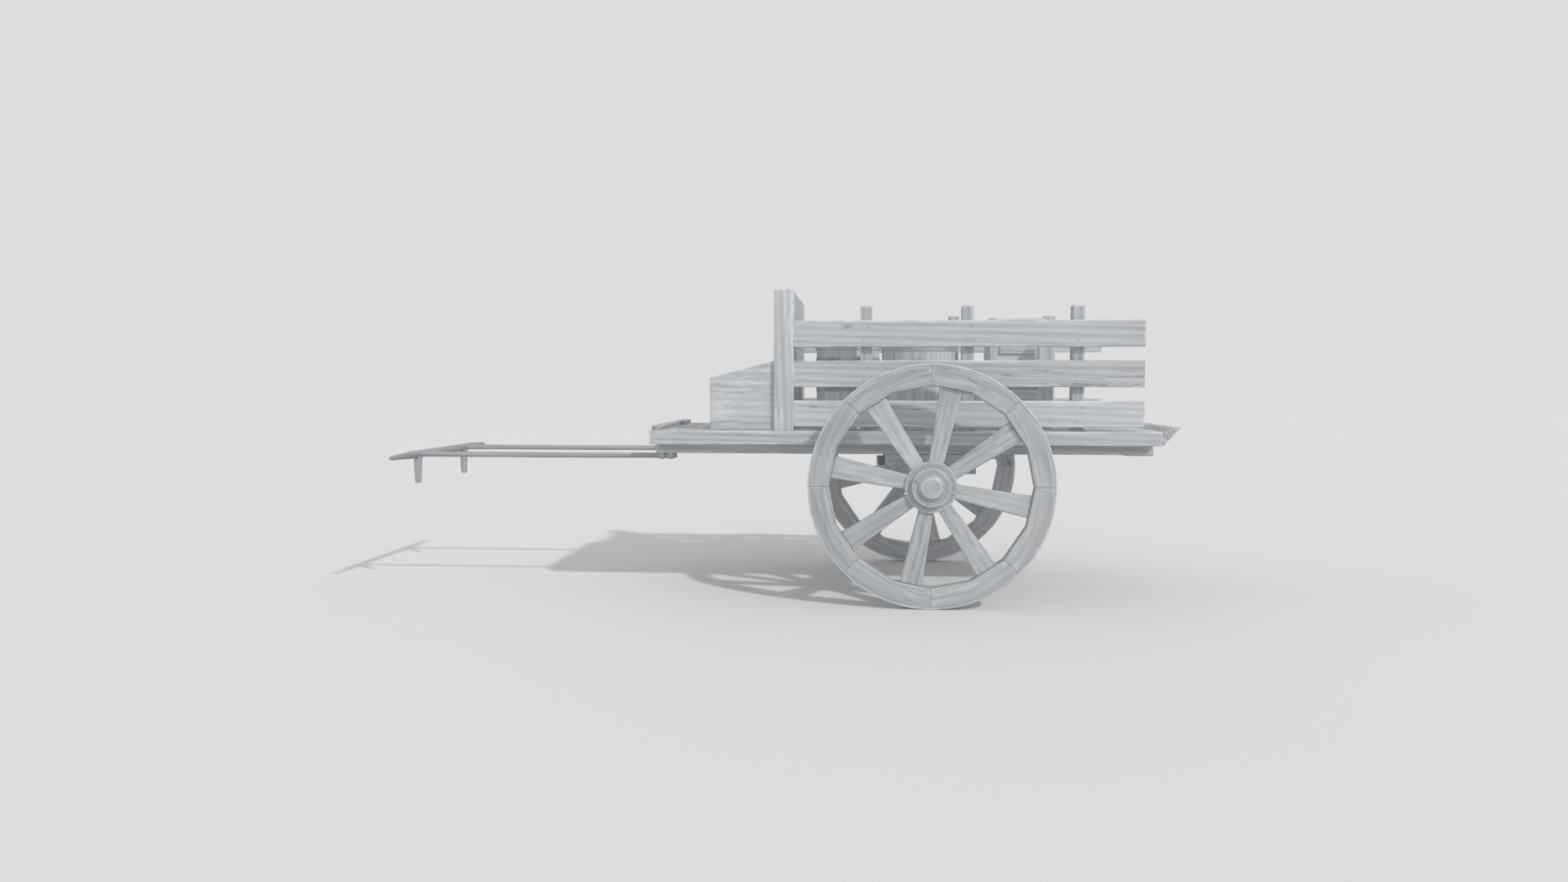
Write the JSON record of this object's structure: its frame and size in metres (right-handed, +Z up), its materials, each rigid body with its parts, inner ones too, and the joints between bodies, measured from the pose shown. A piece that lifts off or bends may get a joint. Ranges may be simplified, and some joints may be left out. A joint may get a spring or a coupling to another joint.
{
  "type": "two-wheeled farm cart",
  "caption": "Slat-sided timber cart on two spoked wheels, with a hinged seat box, round shafts joined by a cross yoke, and a load of barrels and crates.",
  "frame": {"origin": "on the ground under the middle of the cart's whole length and width", "axes": "+Z up, +X towards the tail, -X towards the yoke, -Y the cart's left side"},
  "size_m": [4.059, 1.602, 1.61],
  "materials": {
    "body_timber": "weathered, unpainted, silver-grey",
    "wheel_timber": "weathered, unpainted, silver-grey",
    "pole_timber": "weathered and worn smooth",
    "load_timber": "weathered, unpainted",
    "wrought_iron": "dull grey with light rust"
  },
  "bodies": {
    "cart": {"axle": "wrought_iron", "axle_fastenings": "wrought_iron", "axle_bed": "body_timber", "saddles": "body_timber", "axle_clamps": "wrought_iron", "floor_boards": "body_timber", "left_sill": "body_timber", "right_sill": "body_timber", "end_sills": "body_timber", "left_beam": "body_timber", "right_beam": "body_timber", "cross_bearers": "body_timber", "front_lip": "body_timber", "tail_lip": "body_timber", "tail_straps": "wrought_iron", "left_posts": "body_timber", "right_posts": "body_timber", "left_rails": "body_timber", "right_rails": "body_timber", "headboard_posts": "body_timber", "headboard_boards": "body_timber", "headboard_battens": "body_timber", "seat_sides": "body_timber", "seat_front": "body_timber", "seat_cleats": "body_timber", "seat_back_rail": "body_timber", "hinge_plates": "wrought_iron", "hinge_pins": "wrought_iron", "left_shaft": "pole_timber", "right_shaft": "pole_timber", "shaft_clips": "wrought_iron", "yoke": "pole_timber", "yoke_pegs": "pole_timber", "nails": "wrought_iron", "post_bolts": "wrought_iron"},
    "left_wheel": {"left_tyre": "wrought_iron", "left_felloes": "wheel_timber", "left_spokes": "wheel_timber", "left_nave": "wheel_timber", "left_nave_bands": "wrought_iron", "left_axle_box": "wrought_iron", "left_hub_cap": "wrought_iron"},
    "right_wheel": {"right_tyre": "wrought_iron", "right_felloes": "wheel_timber", "right_spokes": "wheel_timber", "right_nave": "wheel_timber", "right_nave_bands": "wrought_iron", "right_axle_box": "wrought_iron", "right_hub_cap": "wrought_iron"},
    "seat_lid": {"seat_lid": "body_timber", "hinge_straps": "wrought_iron"},
    "small_barrel": {"small_barrel_tub": "load_timber", "small_barrel_hoops": "wrought_iron"},
    "small_barrel_cover": {"small_barrel_lid": "load_timber"},
    "large_barrel": {"large_barrel_tub": "load_timber", "large_barrel_hoops": "wrought_iron"},
    "large_barrel_cover": {"large_barrel_lid": "load_timber"},
    "lower_crate": {"lower_crate": "load_timber"},
    "upper_crate": {"upper_crate": "load_timber"}
  },
  "joints": [
    {"name": "left_wheel_spin", "type": "hinge", "parent": "cart", "child": "left_wheel", "pos_m": [0.7745, -0.7, 0.61], "axis": [0, 1, 0], "continuous": true},
    {"name": "right_wheel_spin", "type": "hinge", "parent": "cart", "child": "right_wheel", "pos_m": [0.7745, 0.7, 0.61], "axis": [0, 1, 0], "continuous": true},
    {"name": "seat_lid_hinge", "type": "hinge", "parent": "cart", "child": "seat_lid", "pos_m": [-0.032, 0, 1.23924], "axis": [0, 1, 0], "range_deg": [0, 100]},
    {"name": "small_barrel_lift", "type": "slide", "parent": "cart", "child": "small_barrel", "axis": [0, 0, 1], "range_m": [0, 0.7]},
    {"name": "small_barrel_lid_lift", "type": "slide", "parent": "small_barrel", "child": "small_barrel_cover", "axis": [0, 0, 1], "range_m": [0, 0.3]},
    {"name": "large_barrel_lift", "type": "slide", "parent": "cart", "child": "large_barrel", "axis": [0, 0, 1], "range_m": [0, 0.7]},
    {"name": "large_barrel_lid_lift", "type": "slide", "parent": "large_barrel", "child": "large_barrel_cover", "axis": [0, 0, 1], "range_m": [0, 0.3]},
    {"name": "lower_crate_lift", "type": "slide", "parent": "cart", "child": "lower_crate", "axis": [0, 0, 1], "range_m": [0, 0.7]},
    {"name": "upper_crate_lift", "type": "slide", "parent": "lower_crate", "child": "upper_crate", "axis": [0, 0, 1], "range_m": [0, 0.5]}
  ]
}
